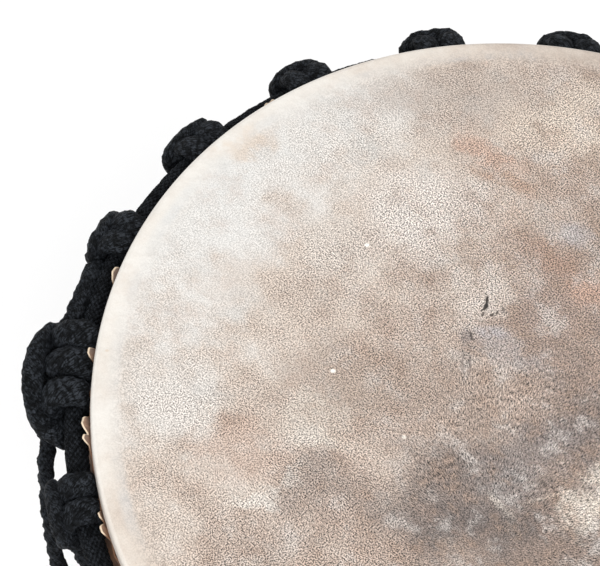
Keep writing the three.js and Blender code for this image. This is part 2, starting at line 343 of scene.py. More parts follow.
class Shading:
    """A material and short ways to add nodes to it."""

    def __init__(self, name, roughness):
        self.material = bpy.data.materials.new(name)
        self.material.use_nodes = True
        self.nodes = self.material.node_tree.nodes
        self.links = self.material.node_tree.links
        self.shader = self.nodes["Principled BSDF"]
        self.shader.inputs["Roughness"].default_value = roughness
        self.place = self.nodes.new("ShaderNodeTexCoord").outputs["Object"]

    def put(self, value, socket):
        if isinstance(value, bpy.types.NodeSocket):
            self.links.new(value, socket)
        else:
            socket.default_value = value

    def math(self, operation, *values):
        node = self.nodes.new("ShaderNodeMath")
        node.operation = operation
        for value, socket in zip(values, node.inputs):
            self.put(value, socket)
        return node.outputs[0]

    def times(self, a, b):
        return self.math("MULTIPLY", a, b)

    def plus(self, a, b):
        return self.math("ADD", a, b)

    def moved(self, source, location=(0, 0, 0), turn=0.0, scale=(1, 1, 1)):
        node = self.nodes.new("ShaderNodeMapping")
        node.vector_type = "TEXTURE"
        self.put(source, node.inputs["Vector"])
        node.inputs["Location"].default_value = location
        node.inputs["Rotation"].default_value = (0, 0, turn)
        node.inputs["Scale"].default_value = scale
        return node.outputs[0]

    def vector(self, operation, a, b=None, output=0):
        node = self.nodes.new("ShaderNodeVectorMath")
        node.operation = operation
        self.put(a, node.inputs[0])
        if b is not None:
            self.put(b, node.inputs[3] if operation == "SCALE" else node.inputs[1])
        return node.outputs[output]

    def length(self, source):
        return self.vector("LENGTH", source, output="Value")

    def noise(self, source, scale, detail=3.0, roughness=0.55, color=False):
        node = self.nodes.new("ShaderNodeTexNoise")
        self.put(source, node.inputs["Vector"])
        node.inputs["Scale"].default_value = scale
        node.inputs["Detail"].default_value = detail
        node.inputs["Roughness"].default_value = roughness
        return node.outputs["Color" if color else "Fac"]

    def cells(self, source, scale):
        node = self.nodes.new("ShaderNodeTexVoronoi")
        node.feature = "SMOOTH_F1"
        self.put(source, node.inputs["Vector"])
        node.inputs["Scale"].default_value = scale
        return node.outputs["Distance"]

    def ramp(self, value, low, high, start=0.0, end=1.0):
        node = self.nodes.new("ShaderNodeMapRange")
        node.interpolation_type = "SMOOTHSTEP"
        for number, setting in enumerate((value, low, high, start, end)):
            self.put(setting, node.inputs[number])
        return node.outputs[0]

    def mix(self, share, a, b):
        node = self.nodes.new("ShaderNodeMix")
        node.data_type = "RGBA"
        self.put(share, node.inputs["Factor"])
        self.put(a, node.inputs[6])
        self.put(b, node.inputs[7])
        return node.outputs[2]

    def bump(self, height, distance, strength, normal=None):
        node = self.nodes.new("ShaderNodeBump")
        self.put(height, node.inputs["Height"])
        node.inputs["Distance"].default_value = distance
        node.inputs["Strength"].default_value = strength
        if normal is not None:
            self.links.new(normal, node.inputs["Normal"])
        return node.outputs[0]

    def split(self, source):
        node = self.nodes.new("ShaderNodeSeparateXYZ")
        self.put(source, node.inputs[0])
        return node.outputs

    def join(self, x, y, z):
        node = self.nodes.new("ShaderNodeCombineXYZ")
        for value, socket in zip((x, y, z), node.inputs):
            self.put(value, socket)
        return node.outputs[0]

    def uv(self):
        return self.nodes.new("ShaderNodeTexCoord").outputs["UV"]

    def done(self, color, normal=None, roughness=None):
        self.put(color, self.shader.inputs["Base Color"])
        if normal is not None:
            self.links.new(normal, self.shader.inputs["Normal"])
        if roughness is not None:
            self.put(roughness, self.shader.inputs["Roughness"])
        return self.material


def shade(red, green, blue):
    """A screen colour of 0 to 255 as the linear values that a socket takes."""
    parts = [value / 255 for value in (red, green, blue)]
    return tuple(p / 12.92 if p < 0.04045 else ((p + 0.055) / 1.055) ** 2.4 for p in parts) + (1.0,)


def cord_material(name, cells, lattice):
    """Soft black braid: a grey-blue highlight is painted on the strands that come up, with painted shade
    darkening the creases between.
    """
    s = Shading(name, 0.6)
    u, v, _ = s.split(s.uv())
    stray = s.times(s.math("SUBTRACT", s.noise(s.place, 260.0, 2.0), 0.5), 3.2 * (1.0 - lattice))
    straight = s.times(u, float(cells))
    around = s.plus(straight, stray)
    rising = s.plus(around, v)
    falling = s.math("SUBTRACT", around, v)
    top_a = s.math("ABSOLUTE", s.math("COSINE", s.times(rising, math.pi)))
    top_b = s.math("ABSOLUTE", s.math("COSINE", s.times(falling, math.pi)))
    height = s.math("POWER", s.times(top_a, top_b), 0.7)
    filaments = s.noise(s.join(s.times(rising, 5.0), falling, 0.0), 1.5, 3.0)
    clumps = s.noise(s.place, 360.0, 4.0, 0.65)
    slant_a, slant_b = s.plus(straight, v), s.math("SUBTRACT", straight, v)
    fuzz = s.noise(s.join(s.times(slant_a, 4.6), slant_b, 0.0), 1.2, 3.0, 0.65)
    wear = s.noise(s.place, 70.0, 3.0)
    # Painted highlight and shade: raised strand tops painted grey-blue, creases painted near black, broken up
    # by filaments, clumps and fuzz
    lit = s.times(s.ramp(height, 0.0, 0.3 + 0.5 * lattice, 0.05, 1.0), s.ramp(filaments, 0.3, 0.66, 0.3, 1.2))
    lit = s.times(lit, s.ramp(clumps, 0.4, 0.62, 0.2, 1.2))
    lit = s.times(lit, s.ramp(fuzz, 0.4, 0.62, 0.0, 2.2))
    color = s.mix(lit, (0.0008, 0.001, 0.0012, 1), (0.035, 0.04, 0.048, 1))
    color = s.mix(s.ramp(wear, 0.55, 0.8, 0.0, 0.15), color, (0.016, 0.018, 0.021, 1))
    rise = s.plus(s.times(height, lattice), s.times(clumps, 1.6 - 1.5 * lattice))
    rise = s.plus(rise, s.times(filaments, 0.5))
    normal = s.bump(rise, 1.2 * MM, 1.0)
    normal = s.bump(fuzz, 0.5 * MM, 1.0, normal)
    s.shader.inputs["Specular IOR Level"].default_value = 0.08
    s.shader.inputs["Sheen Weight"].default_value = 0.02
    s.shader.inputs["Sheen Roughness"].default_value = 0.4
    s.shader.inputs["Sheen Tint"].default_value = shade(190, 205, 225)
    return s.done(color, normal, s.ramp(wear, 0.2, 0.8, 0.5, 0.7))


def wood_material():
    """Oiled hardwood: long grain up the drum, darker heart streaks, fine pores and faint carving marks."""
    s = Shading("oiled_hardwood", 0.4)
    bend = s.noise(s.place, 9.0, 2.0, color=True)
    wavy = s.vector("ADD", s.place, s.vector("SCALE", bend, 0.03))
    long_grain = s.noise(s.moved(wavy, scale=(1, 1, 9)), 55.0, 5.0, 0.6)
    streaks = s.noise(s.moved(wavy, scale=(1, 1, 14)), 22.0, 2.0)
    pores = s.noise(s.moved(s.place, scale=(1, 1, 16)), 900.0, 1.0)
    marks = s.cells(s.moved(s.place, scale=(1, 1, 2.4)), 62.0)
    color = s.mix(s.ramp(long_grain, 0.3, 0.7), shade(66, 36, 22), shade(122, 72, 42))
    color = s.mix(s.ramp(streaks, 0.5, 0.7, 0.0, 0.6), color, shade(44, 24, 16))
    color = s.mix(s.ramp(pores, 0.6, 0.72, 0.0, 0.55), color, shade(30, 16, 11))
    normal = s.bump(marks, 0.8 * MM, 0.35)
    normal = s.bump(pores, 0.15 * MM, 0.5, normal)
    return s.done(color, normal, s.ramp(long_grain, 0.2, 0.8, 0.34, 0.5))


# How light the whole skin is, its tint, and screen colours that its stains share
SKIN_TONE = 0.755
SKIN_TINT = (0.992, 1.0, 1.02)
PALE = (228, 225, 219)
SAND = (212, 197, 181)
PINK = (196, 162, 142)
DUSK = (128, 114, 106)
COOL = (168, 164, 164)
CREAM = (208, 196, 182)
# Pixels of the photograph between which the skin darkens, where its hair streaks fan out from, and the
# middle of its dark part with that part's radius
TONE_START = (110, 230)
TONE_END = (560, 470)
HAIR_MIDDLE = (486, 552)
DARK_MIDDLE = (540, 480)
DARK_RADIUS = 52 * MM
# Stains and worn places of the skin: pixel of the photograph, half length and half width in pixels,
# turn in degrees on the picture, screen colour and strength. Stains above this half length wander more
BROAD_STAIN = 30
STAINS = [
    ((330, 130), 150, 62, -20, PALE, 0.62),
    ((215, 200), 95, 60, -50, PALE, 0.7),
    ((565, 125), 80, 66, 0, SAND, 0.8),
    ((330, 250), 75, 44, 20, (216, 207, 197), 0.6),
    ((420, 205), 84, 66, 0, (224, 215, 206), 0.75),
    ((560, 300), 72, 80, 0, (156, 136, 124), 0.65),
    ((338, 392), 84, 54, 0, (168, 149, 134), 0.7),
    ((450, 400), 90, 50, 0, (164, 147, 134), 0.5),
    ((235, 430), 48, 30, 0, (188, 166, 150), 0.6),
    ((312, 435), 46, 28, 10, (208, 197, 184), 0.75),
    ((262, 492), 48, 15, -20, (218, 209, 198), 0.85),
    ((428, 498), 84, 48, -25, (106, 96, 91), 0.65),
    ((535, 462), 105, 44, -24, (124, 116, 113), 0.7),
    ((590, 425), 50, 44, 0, DUSK, 0.45),
    ((320, 490), 56, 32, 0, (152, 138, 128), 0.65),
    ((588, 500), 40, 15, -72, CREAM, 0.95),
    ((500, 506), 22, 6, 48, CREAM, 0.6),
    ((514, 524), 20, 8, 78, CREAM, 0.65),
    ((548, 497), 30, 2.6, -14, CREAM, 0.45),
    ((466, 334), 13, 8, 88, (116, 104, 98), 0.65),
    ((464, 356), 28, 3.2, 88, (128, 115, 107), 0.6),
    ((470, 357), 28, 2.8, 88, (120, 107, 100), 0.6),
    ((492, 332), 20, 9, 10, (186, 183, 186), 0.55),
    ((450, 96), 125, 40, -4, (178, 163, 151), 0.65),
    ((245, 272), 70, 44, -30, (206, 188, 172), 0.4),
    ((470, 288), 52, 30, 0, (212, 201, 190), 0.55),
    ((505, 520), 104, 32, 0, (106, 96, 91), 0.85),
    ((492, 150), 46, 15, 45, PINK, 0.6),
    ((505, 182), 40, 14, 30, (176, 144, 122), 0.6),
    ((560, 190), 46, 24, 0, (190, 172, 158), 0.35),
    ((553, 268), 50, 22, 35, (166, 134, 114), 0.6),
    ((590, 292), 30, 22, 0, PINK, 0.5),
    ((235, 150), 40, 18, -35, (215, 184, 152), 0.4),
    ((240, 445), 50, 34, 20, PINK, 0.25),
    ((575, 232), 34, 24, 10, COOL, 0.65),
    ((505, 345), 56, 28, 30, (176, 170, 168), 0.45),
    ((260, 240), 42, 26, 0, PALE, 0.5),
    ((175, 400), 46, 60, 0, PALE, 0.5),
]
# Scuffs, specks and scratches, in the same terms but sharp
MARKS = [
    ((487, 300), 6, 1.7, -82, (34, 26, 22), 1.0),
    ((486, 306), 5, 2.6, -64, (30, 23, 20), 1.0),
    ((484, 309), 5, 1.4, -28, (44, 36, 31), 0.9),
    ((483, 314), 4, 1.5, -66, (66, 56, 50), 0.85),
    ((492, 315), 3.0, 1.8, -40, (58, 48, 43), 0.95),
    ((497, 313), 2.6, 1.5, -36, (62, 52, 46), 0.9),
    ((503, 310), 3.2, 1.3, -30, (82, 70, 64), 0.85),
    ((471, 335), 5, 1.6, 80, (64, 56, 52), 0.9),
    ((473, 339), 2.4, 1.4, 20, (60, 52, 48), 0.8),
    ((463, 366), 9, 1.2, 88, (116, 103, 96), 0.6),
    ((470, 364), 10, 1.2, 88, (108, 96, 90), 0.65),
    ((333, 371), 3.2, 2.6, 0, (242, 238, 230), 0.85),
    ((367, 245), 3.0, 2.6, 0, (242, 238, 230), 0.85),
    ((404, 437), 2.6, 2.4, 0, (236, 230, 220), 0.6),
    ((107, 350), 2.2, 1.6, 0, (176, 150, 124), 0.6),
]
PIXEL = HEAD_RADIUS / HEAD_RADIUS_PIXELS


def head_turn(pixel, degrees):
    """The angle on the head of a line that runs at this angle on the picture."""
    angle = math.radians(degrees)
    ahead = (pixel[0] + math.cos(angle), pixel[1] + math.sin(angle))
    way = on_plane(ahead) - on_plane(pixel)
    return math.atan2(way[1], way[0])


def spot(s, source, entry, edge):
    """How much of one stain shows at a place: 1 in its middle, 0 outside."""
    pixel, half_length, half_width, degrees, _, strength = entry
    place = on_plane(pixel)
    across = 1.0 / math.cos(TILT)
    scale = (half_length * PIXEL * across, half_width * PIXEL * across, 1.0)
    away = s.length(s.moved(source, tuple(place), head_turn(pixel, degrees), scale))
    return s.ramp(away, edge, 1.0, strength, 0.0)


def skin_along(s, level, broad):
    """How far along from the cream side to the grey-brown side a place of the skin is."""
    start = on_plane(TONE_START)
    way = on_plane(TONE_END) - start
    length = float(np.linalg.norm(way))
    along = s.split(s.moved(level, tuple(start), math.atan2(way[1], way[0]), (length, length, 1)))[0]
    return s.plus(along, s.ramp(broad, 0.3, 0.7, -0.16, 0.16))


def skin_tones(s, along, warped):
    """Cream at the picture's left, grey-brown at its lower right, soft blotches on the part it cuts off."""
    color = s.mix(s.ramp(along, 0.0, 0.45), shade(232, 229, 223), shade(206, 191, 177))
    color = s.mix(s.ramp(along, 0.35, 0.75), color, shade(176, 157, 143))
    color = s.mix(s.ramp(along, 0.7, 1.1), color, shade(140, 123, 112))
    hidden = s.ramp(along, 1.15, 1.6)
    color = s.mix(s.times(hidden, 0.6), color, shade(188, 172, 159))
    blotch = s.split(s.noise(warped, 26.0, 4.0, 0.6, color=True))
    for channel, tint in enumerate(((136, 118, 107), (212, 202, 191))):
        share = s.times(s.ramp(blotch[channel], 0.48, 0.66), s.times(hidden, 0.7))
        color = s.mix(share, color, shade(*tint))
    return color


def skin_mottle(s, color, along, middle):
    """Small warm and grey patches, then darker and paler ones that grow with the skin's darkness."""
    blush = s.split(s.noise(s.place, 75.0, 4.0, 0.7, color=True))
    color = s.mix(s.ramp(blush[0], 0.52, 0.68, 0.0, 0.2), color, shade(190, 160, 140))
    color = s.mix(s.ramp(blush[1], 0.52, 0.68, 0.0, 0.2), color, shade(176, 177, 174))
    mottle = s.times(s.ramp(along, 0.25, 0.9, 0.12, 0.6), s.ramp(along, 1.1, 1.5, 1.0, 0.35))
    color = s.mix(s.times(s.ramp(middle, 0.5, 0.66), mottle), color, shade(154, 131, 114))
    paler = s.times(s.ramp(middle, 0.48, 0.34), s.times(mottle, 0.7))
    return s.mix(paler, color, shade(214, 206, 198))


def hair_strokes(s, near):
    """Hair streaks that fan out from one place, in two layers so that they stay fine further out."""
    fan = s.vector("SUBTRACT", near, tuple(on_plane(HAIR_MIDDLE)))
    fan_x, fan_y, _ = s.split(fan)
    fan_angle = s.math("ARCTAN2", fan_y, fan_x)
    fan_radius = s.length(fan)
    layers = []
    for turns in (125.0, 230.0):
        hair_at = s.join(s.times(fan_angle, turns), s.times(fan_radius, 800.0), 0.0)
        layers.append(s.ramp(s.noise(hair_at, 1.0, 2.0, 0.6), 0.34, 0.66, -0.5, 0.5))
    far = s.ramp(fan_radius, 26 * MM, 36 * MM)
    return s.plus(s.times(layers[0], s.math("SUBTRACT", 1.0, far)), s.times(layers[1], far))


def skin_grain(s, grain, small, along, level, near, radius):
    """Lighter and darker specks under a millimetre apart, hair where it is darkest, fading at the rim."""
    dark_at = s.moved(level, tuple(on_plane(DARK_MIDDLE)), 0.0, (DARK_RADIUS, DARK_RADIUS, 1))
    light = s.ramp(s.length(dark_at), 0.4, 1.1)
    strength = s.times(s.ramp(along, 0.0, 0.75, 0.4, 2.0), s.ramp(light, 0.0, 1.0, 0.6, 1.0))
    specks = s.times(s.ramp(grain, 0.34, 0.66, -0.5, 0.5), strength)
    specks = s.plus(specks, s.times(s.math("SUBTRACT", small, 0.5), 0.35))
    strokes = s.times(hair_strokes(s, near), s.ramp(light, 0.0, 1.0, 1.6, 0.0))
    inner = s.ramp(radius, HEAD_RADIUS - 13 * MM, HEAD_RADIUS - 3 * MM, 1.0, 0.15)
    return s.times(s.plus(specks, strokes), inner)


def skin_rim(s, color, along, broad, radius):
    """A paler band at the rim, a painted highlight line along its edge and a grey-blue smear inside it."""
    band = s.ramp(radius, HEAD_RADIUS - 10 * MM, HEAD_RADIUS - 2 * MM)
    band = s.times(band, s.ramp(along, 0.2, 0.7, 0.34, 0.1))
    color = s.mix(band, color, shade(228, 220, 208))
    # Painted highlight: a thin bright line along the head's very edge
    painted_edge_highlight = s.ramp(radius, HEAD_RADIUS - 1.2 * MM, HEAD_RADIUS - 0.5 * MM, 0.0, 0.35)
    color = s.mix(painted_edge_highlight, color, shade(243, 239, 232))
    smear = s.times(s.ramp(radius, HEAD_RADIUS - 8 * MM, HEAD_RADIUS - 6 * MM),
                    s.ramp(radius, HEAD_RADIUS - 5 * MM, HEAD_RADIUS - 3 * MM, 1.0, 0.0))
    smear = s.times(smear, s.ramp(broad, 0.45, 0.62, 0.0, 0.28))
    return s.mix(smear, color, shade(190, 196, 200))


def skin_sides(s, color, middle, z):
    """Brown down the turned side and the hem, partly the skin's own colour and partly painted shade, and the
    hem's raw edge, pale where it stands high and painted dark with shade lower down.
    """
    zone = s.split(s.uv())[1]
    # The side's brown is partly the skin's own colour and partly painted shade where the cord presses close
    side_brown_and_shade = s.mix(s.ramp(middle, 0.35, 0.65), shade(88, 54, 32), shade(148, 102, 66))
    color = s.mix(s.ramp(zone, 0.16, 0.34, 0.0, 0.85), color, side_brown_and_shade)
    # The hem's raw edge: its own pale colour where it stands high, painted dark brown shade lower down beside
    # the cord
    edge_pale_and_shade = s.mix(s.ramp(z, TOP - 6 * MM, TOP - 4.2 * MM), shade(112, 76, 50), shade(226, 206, 180))
    return s.mix(s.ramp(zone, 0.8, 0.95, 0.0, 0.9), color, edge_pale_and_shade)


def skin_material():
    """Goatskin: cream to grey-brown mottling, fine grain, hair streaks, a smooth rim band with a painted
    highlight at its edge, brown sides partly darkened with painted shade.
    """
    s = Shading("goatskin", 0.55)
    x, y, z = s.split(s.place)
    flat = s.join(x, y, TOP)
    radius = s.length(s.join(x, y, 0.0))
    bend = s.vector("SUBTRACT", s.noise(s.place, 48.0, 5.0, 0.65, color=True), (0.5, 0.5, 0.5))
    warped = s.vector("ADD", flat, s.vector("SCALE", bend, 0.038))
    near = s.vector("ADD", flat, s.vector("SCALE", bend, 0.004))
    level = s.join(s.split(warped)[0], s.split(warped)[1], TOP)
    broad = s.noise(s.place, 36.0, 5.0, 0.65)
    middle = s.noise(s.place, 120.0, 4.0, 0.65)
    small = s.noise(s.place, 480.0, 3.0, 0.6)
    grain = s.noise(s.place, 2500.0, 2.0, 0.6)
    along = skin_along(s, level, broad)
    color = skin_tones(s, along, warped)
    for entry in STAINS:
        source = level if entry[1] > BROAD_STAIN else near
        color = s.mix(spot(s, source, entry, 0.25), color, shade(*entry[4]))
    color = skin_mottle(s, color, along, middle)
    tone = skin_grain(s, grain, small, along, level, near, radius)
    color = s.vector("MULTIPLY", color, SKIN_TINT)
    color = s.vector("SCALE", color, s.math("MULTIPLY_ADD", tone, SKIN_TONE, SKIN_TONE))
    for entry in MARKS:
        share = s.times(spot(s, flat, entry, 0.45), s.ramp(grain, 0.3, 0.5, 0.6, 1.0))
        color = s.mix(share, color, shade(*entry[4]))
    color = skin_rim(s, color, along, broad, radius)
    color = skin_sides(s, color, middle, z)
    normal = s.bump(grain, 0.22 * MM, 0.5)
    normal = s.bump(small, 0.5 * MM, 0.3, normal)
    normal = s.bump(middle, 1.2 * MM, 0.25, normal)
    return s.done(color, normal, s.ramp(middle, 0.3, 0.7, 0.5, 0.66))


def waves(azimuth, seed, counts, sizes):
    """A smooth uneven line round the drum: waves of whole counts with seeded phases."""
    random = np.random.default_rng(seed)
    total = np.zeros_like(azimuth)
    for count, size in zip(counts, sizes):
        total += size * np.sin(count * azimuth + random.uniform(0, TURN))
    return total


# Crumpled bits of the hem that stand up beside the rim: pixel, half width in pixels, rise and lean in mm.
# More of them stand at seeded places where the photograph doesn't show the hem
HIDDEN_BITS = 26
HIDDEN_HEM = (math.radians(75), math.radians(285))
FRINGE_DEPTH = 5 * MM
FRINGE = [
    ((114, 274), 11, 3.6, 1.3),
    ((94, 353), 7, 3.0, 1.15),
    ((90, 425), 11, 2.8, 1.0),
    ((91, 440), 4, 2.6, 1.1),
    ((100, 515), 5, 2.0, 0.5),
    ((107, 529), 7, 3.4, 1.25),
    ((268, 102), 12, 3.2, 1.9),
    ((316, 78), 16, 2.2, 1.1),
    ((585, 50), 4, 3.6, 0.7),
]


def fringe_lines(azimuth):
    """How high the hem's edge stands above its usual depth, and how far it leans out, in metres."""
    rise = waves(azimuth, 3, (9, 23, 41, 67, 113), (0.4, 0.4, 0.4, 0.3, 0.2)) * MM
    lean = waves(azimuth, 4, (11, 29, 53, 89, 131), (0.1, 0.12, 0.12, 0.1, 0.08)) * MM
    random = np.random.default_rng(5)
    bits = []
    for pixel, width, up, out in FRINGE:
        place = on_plane(pixel, TOP - FRINGE_DEPTH)
        bits.append((math.atan2(place[1], place[0]), width * PIXEL / HEAD_RADIUS, up, out))
    for _ in range(HIDDEN_BITS):
        angle = random.uniform(*HIDDEN_HEM)
        width = random.uniform(0.012, 0.03)
        bits.append((angle, width, random.uniform(1.2, 3.2), random.uniform(0.5, 1.3)))
    for angle, width, up, out in bits:
        away = (azimuth - angle + math.pi) % TURN - math.pi
        hill = np.exp(-((away / width) ** 4))
        rise += hill * up * MM
        lean += hill * out * MM
        rise -= hill * 0.5 * MM * np.sin(away / width * 4 + angle * 7) ** 2
    return rise, lean


def make_skin(material):
    """The head and its edge, the side, the hem's ragged edge and its outside, the fold, and the inside."""
    azimuth = np.arange(SKIN_RING) / SKIN_RING * TURN
    rise, lean = fringe_lines(azimuth)
    hem = HEM_DEPTH - np.clip(rise, -HEM_DROP, HEM_RISE)
    lean = np.clip(lean, -HEM_LEAN_IN, HEM_LEAN_OUT)
    pleat = waves(azimuth, 6, (61, 97, 149, 211), (0.1, 0.14, 0.14, 0.1)) * MM
    rows = []
    zones = []

    # A zone tells the material where a row is: 0 on the head, 0.2 to 0.5 on its sides, 1 at the raw edge
    def row(radius, depth, zone):
        rows.append(at(azimuth, radius, TOP - depth))
        zones.append(zone)

    crease = HEAD_RADIUS - EDGE_CREASE
    for share in (0, 0.4, 0.8, FALL_START, 0.96, 0.98, 1):
        fall = EDGE_FALL * max(0, share - FALL_START) / (1 - FALL_START)
        row(max(crease * share, AXIS_HOLE), fall, 0)
    for turn in np.linspace(math.pi / 16, math.pi / 2, 8):
        depth = EDGE_FALL + EDGE_CREASE * (1 - math.cos(turn))
        row(crease + EDGE_CREASE * math.sin(turn), depth, 0.2 * math.sin(turn) ** 4)
    crevice = hem + CREVICE
    for share in np.linspace(0, 1, 6):
        depth = EDGE_ROUNDING + (crevice - EDGE_ROUNDING) * share
        row(skin_side(depth) + pleat * 0.3 * share, depth, 0.2 + 0.2 * share)
    for share in np.linspace(0.2, 1, 7):
        depth = crevice + (hem - crevice) * share
        out = FLAP_CLEARANCE + lean * share ** 1.5 + pleat * 0.5
        row(skin_side(depth) + out, depth, 0.4 + 0.5 * share ** 4)
    for turn in (0.25, 0.5, 0.75):
        depth = hem - FLAP_THICKNESS * 0.5 * math.sin(math.pi * turn)
        out = FLAP_CLEARANCE + lean + FLAP_THICKNESS * turn + pleat * 0.5
        row(skin_side(hem) + out, depth, 1.0)
    straight = FOLD_DEPTH - FOLD_RADIUS * math.sin(math.radians(60))
    for share in np.linspace(0, 1, 14):
        depth = hem + (straight - hem) * share
        cling = (1 - smooth(share, 0, 0.25)) * lean
        out = FLAP_CLEARANCE + cling + FLAP_THICKNESS + pleat * (0.5 + 0.5 * share)
        out = np.minimum(out, FLAP_LIMIT + (1 - smooth(share, 0, 0.35)) * 4 * MM)
        row(skin_side(depth) + out, depth, 1.0 if share == 0 else 0.5)
    fold_r = skin_side(FOLD_DEPTH) + FOLD_RADIUS
    for degrees in np.linspace(60, -120, 11):
        turn = math.radians(degrees)
        out = (FOLD_RADIUS + pleat * 0.6) * math.cos(turn)
        row(fold_r + out, FOLD_DEPTH - FOLD_RADIUS * math.sin(turn), 0.4)
    row(skin_side(FOLD_DEPTH) - SKIN_THICKNESS, FOLD_DEPTH + FOLD_RADIUS / 2, 0.3)
    inside = EDGE_ROUNDING - SKIN_THICKNESS
    for degrees in (90, 60, 30, 0):
        turn = math.radians(degrees)
        out = inside * math.sin(turn)
        row(HEAD_RADIUS - EDGE_ROUNDING + out, EDGE_ROUNDING - inside * math.cos(turn), 0.2)
    for radius in (110 * MM, 60 * MM, AXIS_HOLE):
        row(radius, SKIN_THICKNESS, 0.2)
    grid = np.stack(rows)[::-1]
    skin = grid_mesh("goatskin_head", grid, material, v_values=np.array(zones)[::-1])
    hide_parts("drumhead")


def shell_profile():
    """The turned outline of the shell, from the rim down outside and back up inside."""
    centre = HEAD_RADIUS - EDGE_ROUNDING
    edge_size = EDGE_ROUNDING - SKIN_THICKNESS - GAP
    turns = np.linspace(0, math.pi / 2, 6)
    edge = np.column_stack([
        centre + edge_size * np.sin(turns),
        TOP - EDGE_ROUNDING + edge_size * np.cos(turns),
    ])
    collar_z = WAIST_HEIGHT - COLLAR_DROP
    band_turns = np.linspace(-math.pi / 2, math.pi / 2, 9)[::-1]
    band = np.column_stack([
        WAIST_RADIUS - BAND_SINK + BAND_SWELL * np.cos(band_turns),
        (WAIST_HEIGHT - BAND_DROP + collar_z) / 2 + BAND_HALF_HEIGHT * np.sin(band_turns),
    ])
    foot = bezier([(WAIST_RADIUS, WAIST_HEIGHT), FOOT_NECK, FOOT_SWELL, (FOOT_RADIUS, FOOT_RIM_HEIGHT)], 60)
    foot = foot[foot[:, 1] < collar_z - 2 * MM]
    for groove_z in GROOVE_HEIGHTS:
        foot[:, 0] -= GROOVE_DEPTH * np.exp(-(((foot[:, 1] - groove_z) / GROOVE_HALF_WIDTH) ** 2))
    base = np.array([
        (FOOT_RADIUS, 3 * MM), (FOOT_RADIUS - 0.8 * MM, 0.8 * MM), (FOOT_RADIUS - 3 * MM, 0),
        (FOOT_RADIUS - FOOT_WALL + 2 * MM, 0), (FOOT_RADIUS - FOOT_WALL, 2 * MM),
    ])
    hollow = catmull([
        (FOOT_RADIUS - FOOT_WALL, 2 * MM), (60 * MM, 45 * MM), (43 * MM, 120 * MM),
        (THROAT_RADIUS, 172 * MM), (THROAT_RADIUS, 207 * MM),
    ], 8, False)
    slope = np.gradient(BOWL, axis=0)
    slope /= np.linalg.norm(slope, axis=1, keepdims=True)
    inside = np.column_stack([BOWL[:, 0] + slope[:, 1] * BOWL_WALL, BOWL[:, 1] - slope[:, 0] * BOWL_WALL])
    inside = inside[20:150:8][::-1]
    mouth = HEAD_RADIUS - SKIN_THICKNESS - GAP - RIM_WALL
    rim = np.array([
        (mouth, TOP - 5.2 * MM), (mouth + 0.8 * MM, TOP - 2.6 * MM), (mouth + 3 * MM, TOP - 1.2 * MM),
    ])
    return np.vstack([edge, BOWL_FACE, band, foot, base, hollow[1:], inside, rim])


def make_shell(material):
    """The turned shell, with shallow tool marks on the outside of its bowl and foot."""
    profile = shell_profile()
    azimuth = np.arange(SHELL_RING) / SHELL_RING * TURN
    grid = np.stack([at(azimuth, radius, z) for radius, z in profile])
    height = grid[:, :, 2]
    carved = CARVING * np.sin(9 * azimuth + height * 55) * np.sin(height * 210 + 2 * azimuth)
    face = np.zeros(len(profile))
    face[FIRST_CARVED_ROW:FIRST_CARVED_ROW + len(BOWL_FACE) + CARVED_FOOT_ROWS] = 1
    carved *= face[:, None]
    grid[:, :, 0] += carved * np.cos(azimuth)
    grid[:, :, 1] += carved * np.sin(azimuth)
    shell = grid_mesh("carved_shell", grid[::-1], material, wrap_rows=True)
    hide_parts("shell")


# A lark's head knot about its hoop, from a leg to the middle of its bight. Each stop gives the angle round
# the hoop from its outer side, then in millimetres the place along it, the distance from its centre line,
# and the cord's half width and half thickness
LARKS_HEAD = [
    (-30, 4.4, 5.3, 2.5, 1.9),
    (5, 4.0, 5.1, 3.6, 1.9),
    (40, 3.8, 5.5, 3.9, 2.15),
    (75, 3.75, 5.35, 3.9, 2.05),
    (110, 3.85, 5.0, 3.8, 1.65),
    (145, 4.2, 4.3, 3.5, 0.95),
    (180, 4.9, 3.95, 3.3, 0.5),
    (220, 5.7, 4.3, 3.0, 0.8),
    (262, 6.5, 4.9, 2.6, 1.6),
    (300, 7.2, 5.6, 2.3, 2.1),
    (330, 7.4, 6.9, 2.3, 2.2),
    (352, 6.4, 7.0, 2.6, 2.3),
    (366, 4.0, 7.3, 2.9, 2.3),
    (370, 0, 7.4, 3.0, 2.3),
]
# How far the photographed knots sit from even spacing along the hoop, in millimetres, by knot number
KNOT_SHIFTS = {17: 0.6, 18: 0.6, 19: 2.0, 0: 0.4, 1: -1.0, 3: 1.2}


def hoop_place(azimuth, ring_r, ring_z, flip, stop):
    """A row of the cord from a stop given round the hoop; flip turns the knot upside down."""
    degrees, along, away, width, thick = stop
    turn = math.radians(degrees)
    outward = np.array([math.cos(azimuth), math.sin(azimuth), 0])
    tangent = np.array([-math.sin(azimuth), math.cos(azimuth), 0])
    up = np.array([0, 0, flip])
    way = outward * math.cos(turn) + up * math.sin(turn)
    curve = ring_r * math.cos(along * MM / ring_r)
    place = outward * curve + np.array([0, 0, ring_z]) + tangent * along * MM + way * away * MM
    return np.concatenate([place, way, [width * MM, thick * MM]])


def leg_place(azimuth, radius, z, along, size=CORD_RADIUS):
    outward = np.array([math.cos(azimuth), math.sin(azimuth), 0])
    tangent = np.array([-math.sin(azimuth), math.cos(azimuth), 0])
    place = outward * radius + tangent * along + np.array([0, 0, z])
    return np.concatenate([place, outward, [size, size]])


def knot_rows(azimuth, ring_r, ring_z, flip, scale, uneven):
    """A whole lark's head, left leg to right leg; uneven gives its own spread, fullness and shift."""
    spread, fullness, shift = uneven
    stops = [(d, t * scale * spread, q, w * fullness, h) for d, t, q, w, h in LARKS_HEAD]
    left = [(d, shift - t, q, w, h) for d, t, q, w, h in stops]
    right = [(d, shift + t, q, w, h) for d, t, q, w, h in stops[:-1][::-1]]
    return [hoop_place(azimuth, ring_r, ring_z, flip, stop) for stop in left + right]


